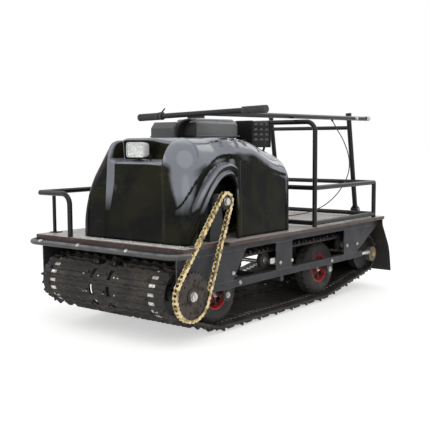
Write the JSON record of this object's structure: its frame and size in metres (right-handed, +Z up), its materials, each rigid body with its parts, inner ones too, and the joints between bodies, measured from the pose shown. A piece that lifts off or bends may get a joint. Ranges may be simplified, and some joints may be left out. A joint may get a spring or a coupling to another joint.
{
  "type": "tracked snow towing vehicle",
  "caption": "Low walk-ahead tow machine on a wide lugged rubber track, with a moulded engine hood, side chain drive, cargo rails and a folding steering pole.",
  "frame": {"origin": "on the ground under the middle of the whole machine's box", "axes": "+Z up, the front faces -Y, the machine's left side with the chain drive is +X"},
  "size_m": [1.0323, 1.756, 0.9237],
  "materials": {
    "film_faced_board": "satin",
    "frame_paint": "satin",
    "tube_paint": "satin",
    "bare_steel": "satin",
    "chain_steel": "satin",
    "belt_rubber": "matte",
    "tyre_rubber": "matte",
    "rim_paint": "satin",
    "black_plastic": "matte",
    "hood_shell": "gloss",
    "lamp_plastic": "gloss",
    "engine_black": "satin",
    "tank_paint": "satin",
    "cap_plastic": "satin",
    "cleaner_plastic": "matte",
    "grip_rubber": "matte",
    "flap_rubber": "matte",
    "cable_sheath": "satin"
  },
  "bodies": {
    "chassis": {"deck_board": "film_faced_board", "deck_frame": "frame_paint", "side_plates_left": "frame_paint", "side_plates_right": "frame_paint", "lower_rail_left": "frame_paint", "lower_rail_right": "frame_paint", "cross_brace": "frame_paint", "tow_hitch": "frame_paint", "deck_trim_strip": "bare_steel", "track": "belt_rubber", "front_tyres": "tyre_rubber", "rear_tyres": "tyre_rubber", "front_rims": "rim_paint", "rear_rims": "rim_paint", "front_axle": "bare_steel", "rear_axle": "bare_steel", "front_axle_hangers": "frame_paint", "rear_axle_hangers": "frame_paint", "drive_axle": "bare_steel", "drive_discs": "black_plastic", "idler_axle": "bare_steel", "idler_wheels": "black_plastic", "idler_tensioners": "bare_steel", "carrier_rollers": "black_plastic", "chain_sprocket_large": "bare_steel", "chain_sprocket_small": "bare_steel", "output_shaft": "bare_steel", "shaft_stand": "frame_paint", "drive_chain": "chain_steel", "hood": "hood_shell", "headlight": "lamp_plastic", "headlight_bracket": "tube_paint", "engine_block": "engine_black", "fuel_tank": "tank_paint", "fuel_cap": "cap_plastic", "air_cleaner": "cleaner_plastic", "muffler_guard": "engine_black", "exhaust_pipe": "engine_black", "cargo_hoop": "tube_paint", "basket_rails": "tube_paint", "right_handrail": "tube_paint", "handrail_post": "tube_paint", "front_bumper": "tube_paint", "mast_brackets": "tube_paint", "mud_flap": "flap_rubber", "control_cable": "cable_sheath", "cable_gland": "cap_plastic"},
    "mast": {"mast_frame": "tube_paint", "mast_caps": "cap_plastic", "pole_bolt": "bare_steel"},
    "pole": {"steering_pole": "tube_paint", "handlebar_grips": "grip_rubber", "throttle_lever": "cap_plastic"}
  },
  "joints": [
    {"name": "mast_fold", "type": "hinge", "parent": "chassis", "child": "mast", "pos_m": [-0.054, 0.747, 0.414], "axis": [-1, 0, 0], "range_deg": [0, 95], "deforming": ["control_cable"]},
    {"name": "pole_fold", "type": "hinge", "parent": "mast", "child": "pole", "pos_m": [0.2195, 0.6684, 0.894], "axis": [-1, 0, 0], "range_deg": [0, 80], "deforming": ["control_cable"]}
  ]
}
